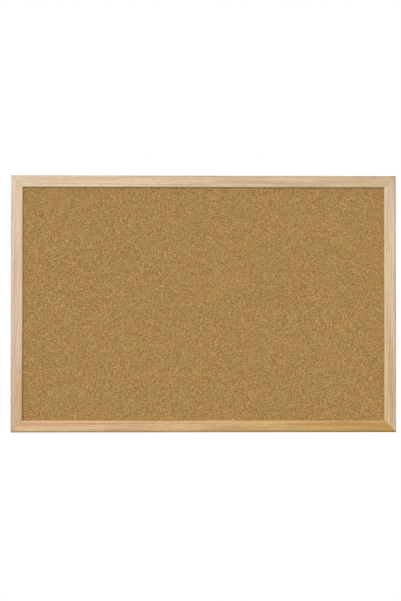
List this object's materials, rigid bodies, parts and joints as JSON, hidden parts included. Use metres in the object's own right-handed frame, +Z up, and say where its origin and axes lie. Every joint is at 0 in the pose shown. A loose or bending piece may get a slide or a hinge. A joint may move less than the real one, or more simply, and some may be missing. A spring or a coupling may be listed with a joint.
{
  "type": "framed cork board",
  "caption": "Wall-hung cork board: cork on a softboard core, held in a mitred pine frame, with D-ring hangers and bumpers on the back.",
  "frame": {"origin": "middle of the board's outline, on the wall plane that the rear bumpers touch", "axes": "+X across the board to the viewer's right, +Z up, +Y into the wall; the cork faces -Y"},
  "size_m": [0.6, 0.02, 0.4],
  "materials": {
    "pine": "sanded pine, clear matt",
    "cork": "fine-grain agglomerated cork, matt",
    "softboard": "raw fibre softboard",
    "greyboard": "grey recycled board, matt",
    "point_steel": "bare spring steel strip",
    "nail_steel": "bare steel strip",
    "zinc_plate": "bright zinc plate",
    "bumper_rubber": "matt"
  },
  "bodies": {
    "board": {"top_rail": "pine", "right_rail": "pine", "bottom_rail": "pine", "left_rail": "pine", "cork_sheet": "cork", "fibre_core": "softboard", "backing_sheet": "greyboard", "top_point_1": "point_steel", "top_point_2": "point_steel", "top_point_3": "point_steel", "top_point_4": "point_steel", "top_point_5": "point_steel", "right_point_1": "point_steel", "right_point_2": "point_steel", "right_point_3": "point_steel", "bottom_point_1": "point_steel", "bottom_point_2": "point_steel", "bottom_point_3": "point_steel", "bottom_point_4": "point_steel", "bottom_point_5": "point_steel", "left_point_1": "point_steel", "left_point_2": "point_steel", "left_point_3": "point_steel", "top_right_nail_outer": "nail_steel", "top_right_nail_inner": "nail_steel", "bottom_right_nail_outer": "nail_steel", "bottom_right_nail_inner": "nail_steel", "bottom_left_nail_outer": "nail_steel", "bottom_left_nail_inner": "nail_steel", "top_left_nail_outer": "nail_steel", "top_left_nail_inner": "nail_steel", "left_hanger_strap": "zinc_plate", "right_hanger_strap": "zinc_plate", "left_hanger_screw": "zinc_plate", "right_hanger_screw": "zinc_plate", "left_bumper": "bumper_rubber", "right_bumper": "bumper_rubber"},
    "left_ring": {"left_hanger_ring": "zinc_plate"},
    "right_ring": {"right_hanger_ring": "zinc_plate"}
  },
  "joints": [
    {"name": "left_ring_swing", "type": "hinge", "parent": "board", "child": "left_ring", "pos_m": [-0.2925, -0.00215, 0.155], "axis": [-1, 0, 0], "range_deg": [0, 176]},
    {"name": "right_ring_swing", "type": "hinge", "parent": "board", "child": "right_ring", "pos_m": [0.2925, -0.00215, 0.155], "axis": [-1, 0, 0], "range_deg": [0, 176]}
  ]
}
